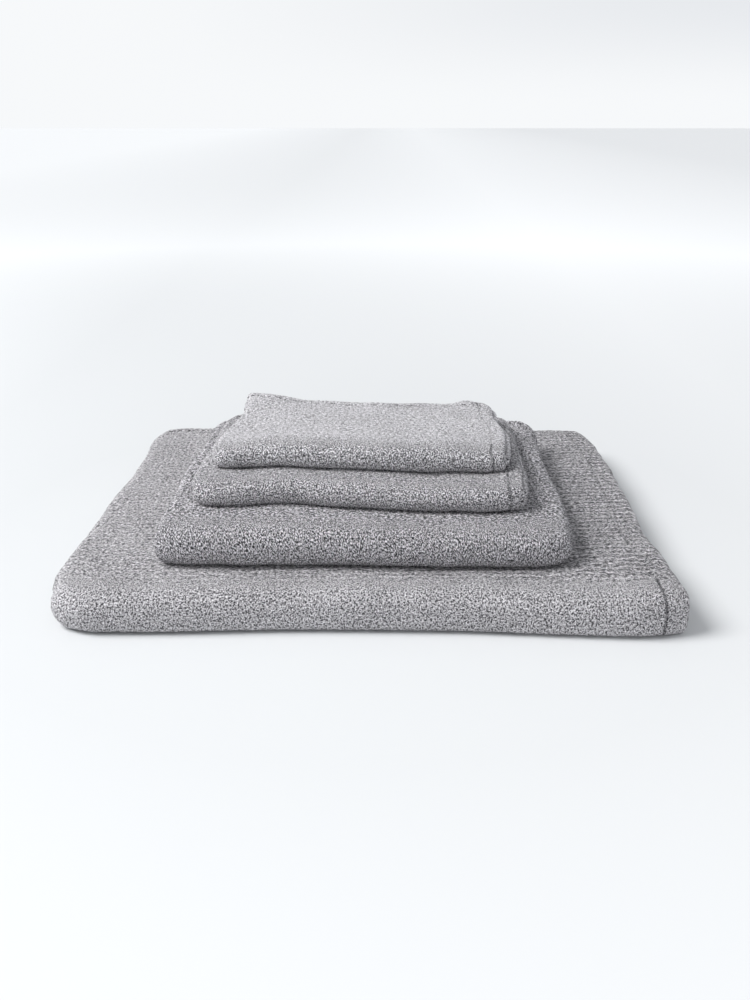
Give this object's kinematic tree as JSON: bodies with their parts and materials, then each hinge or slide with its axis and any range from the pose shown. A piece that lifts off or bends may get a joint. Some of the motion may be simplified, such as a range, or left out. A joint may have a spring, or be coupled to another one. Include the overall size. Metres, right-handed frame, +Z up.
{
  "type": "bath towel set",
  "caption": "Stack of folded heather-grey woven cotton towels in graded sizes, each with stitched hems and a round front fold.",
  "frame": {"origin": "centre of the stack's footprint, on the face it rests on", "axes": "+X to the right along the folded length, towards the stitched end hems; +Y to the back, where the layers' edges lie open; +Z up"},
  "size_m": [0.512, 0.45, 0.1091],
  "materials": {
    "bath_sheet_weave": "matt looped cotton, grey melange",
    "bath_towel_weave": "matt looped cotton, grey melange",
    "hand_towel_weave": "matt looped cotton, grey melange",
    "guest_towel_weave": "matt looped cotton, grey melange",
    "sewing_thread": "matt grey sewing thread"
  },
  "bodies": {
    "bath_sheet": {"bath_sheet_cloth": "bath_sheet_weave", "bath_sheet_first_end_hem": "bath_sheet_weave", "bath_sheet_first_end_stitches": "sewing_thread", "bath_sheet_second_end_hem": "bath_sheet_weave", "bath_sheet_second_end_stitches": "sewing_thread", "bath_sheet_lower_side_hem": "bath_sheet_weave", "bath_sheet_lower_side_stitches": "sewing_thread", "bath_sheet_upper_side_hem": "bath_sheet_weave", "bath_sheet_upper_side_stitches": "sewing_thread"},
    "bath_towel": {"bath_towel_cloth": "bath_towel_weave", "bath_towel_first_end_hem": "bath_towel_weave", "bath_towel_first_end_stitches": "sewing_thread", "bath_towel_second_end_hem": "bath_towel_weave", "bath_towel_second_end_stitches": "sewing_thread", "bath_towel_lower_side_hem": "bath_towel_weave", "bath_towel_lower_side_stitches": "sewing_thread", "bath_towel_upper_side_hem": "bath_towel_weave", "bath_towel_upper_side_stitches": "sewing_thread"},
    "hand_towel": {"hand_towel_cloth": "hand_towel_weave", "hand_towel_first_end_hem": "hand_towel_weave", "hand_towel_first_end_stitches": "sewing_thread", "hand_towel_second_end_hem": "hand_towel_weave", "hand_towel_second_end_stitches": "sewing_thread", "hand_towel_lower_side_hem": "hand_towel_weave", "hand_towel_lower_side_stitches": "sewing_thread", "hand_towel_upper_side_hem": "hand_towel_weave", "hand_towel_upper_side_stitches": "sewing_thread"},
    "guest_towel": {"guest_towel_cloth": "guest_towel_weave", "guest_towel_first_end_hem": "guest_towel_weave", "guest_towel_first_end_stitches": "sewing_thread", "guest_towel_second_end_hem": "guest_towel_weave", "guest_towel_second_end_stitches": "sewing_thread", "guest_towel_lower_side_hem": "guest_towel_weave", "guest_towel_lower_side_stitches": "sewing_thread", "guest_towel_upper_side_hem": "guest_towel_weave", "guest_towel_upper_side_stitches": "sewing_thread"}
  },
  "joints": [
    {"name": "bath_towel_lift", "type": "slide", "parent": "bath_sheet", "child": "bath_towel", "axis": [0, 0, 1], "range_m": [0, 0.2]},
    {"name": "hand_towel_lift", "type": "slide", "parent": "bath_towel", "child": "hand_towel", "axis": [0, 0, 1], "range_m": [0, 0.2]},
    {"name": "guest_towel_lift", "type": "slide", "parent": "hand_towel", "child": "guest_towel", "axis": [0, 0, 1], "range_m": [0, 0.2]}
  ]
}
